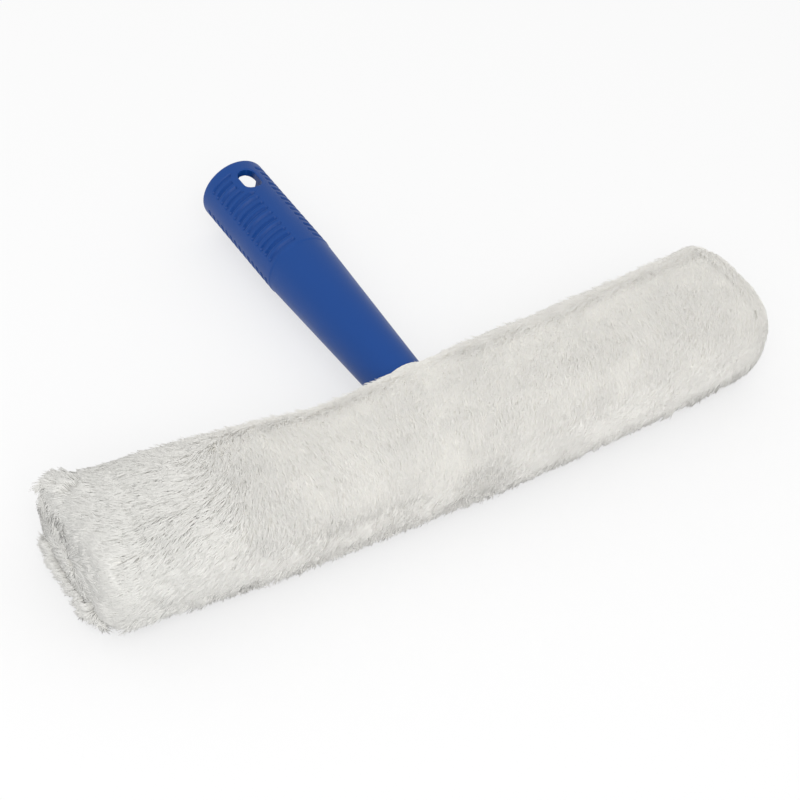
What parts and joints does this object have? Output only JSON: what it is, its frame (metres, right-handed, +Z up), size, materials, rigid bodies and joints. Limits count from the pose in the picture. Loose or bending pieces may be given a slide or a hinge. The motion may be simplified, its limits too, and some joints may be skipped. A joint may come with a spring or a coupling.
{
  "type": "window scrubber",
  "caption": "T-shaped window scrubber: a plush washable sleeve on a crossbar with a hollow grooved handle that takes an extension pole.",
  "frame": {"origin": "bottom centre of the whole tool, lying on its sleeve as on a table", "axes": "+Z up, +X along the crossbar towards the sewn end, +Y along the handle towards its free end"},
  "size_m": [0.352, 0.214, 0.0492],
  "materials": {
    "handle_plastic": "satin blue polypropylene",
    "bar_plastic": "satin blue polypropylene",
    "screw_steel": "zinc-plated steel",
    "woven_backing": "plain woven polyester backing",
    "plush_pile": "white plush pile",
    "hem_tape": "folded and stitched tape",
    "loop_fabric": "brushed loop tape",
    "hook_fabric": "moulded hook tape"
  },
  "bodies": {
    "tool": {"handle": "handle_plastic", "crossbar": "bar_plastic", "fixing_screws": "screw_steel", "sleeve_backing": "woven_backing", "sleeve_pile": "plush_pile", "end_panel": "woven_backing", "end_panel_pile": "plush_pile", "neck_hem": "hem_tape", "loop_tape": "loop_fabric"},
    "flap": {"closure_flap": "woven_backing", "flap_pile": "plush_pile", "hook_tape": "hook_fabric"}
  },
  "joints": [
    {"name": "closure_flap_fold", "type": "hinge", "parent": "tool", "child": "flap", "pos_m": [-0.1644, -0.0705, 0.0092], "axis": [0, -1, 0], "range_deg": [0, 90]}
  ]
}
